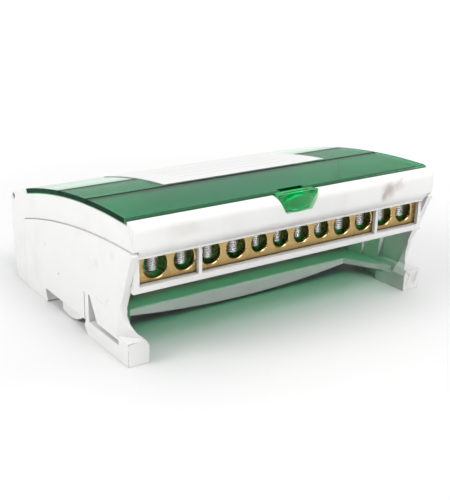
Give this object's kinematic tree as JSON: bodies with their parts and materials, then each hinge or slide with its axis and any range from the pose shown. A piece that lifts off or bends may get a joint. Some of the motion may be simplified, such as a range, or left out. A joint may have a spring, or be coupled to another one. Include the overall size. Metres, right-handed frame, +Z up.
{
  "type": "power distribution block",
  "caption": "Rail-mounted power distribution block: drilled brass bars with clamp screws in a white footed case under a hinged green see-through cover with a thumb latch.",
  "frame": {"origin": "middle of the bounding box's bottom face, on the surface the block stands on", "axes": "+X along the bars to the right, +Y from the latch side to the hinge side, +Z up"},
  "size_m": [0.135, 0.1052, 0.052],
  "materials": {
    "white_plastic": "satin, marked",
    "green_clear": "clear green plastic",
    "paper": "matt paper",
    "brass": "machined",
    "zinc": "zinc plated"
  },
  "bodies": {
    "case": {"base": "white_plastic", "upper_frame": "white_plastic", "partition": "white_plastic", "busbar_front": "brass", "busbar_second": "brass", "busbar_third": "brass", "busbar_rear": "brass", "screws_front_m5": "zinc", "screws_front_m4": "zinc", "screws_second_m5": "zinc", "screws_second_m4": "zinc", "screws_third_m5": "zinc", "screws_third_m4": "zinc", "screws_rear_m5": "zinc", "screws_rear_m4": "zinc"},
    "lid": {"cover": "green_clear", "label": "paper"}
  },
  "joints": [
    {"name": "cover_hinge", "type": "hinge", "parent": "case", "child": "lid", "pos_m": [0, 0.0495, 0.03544], "axis": [-1, 0, 0], "range_deg": [0, 105]}
  ]
}
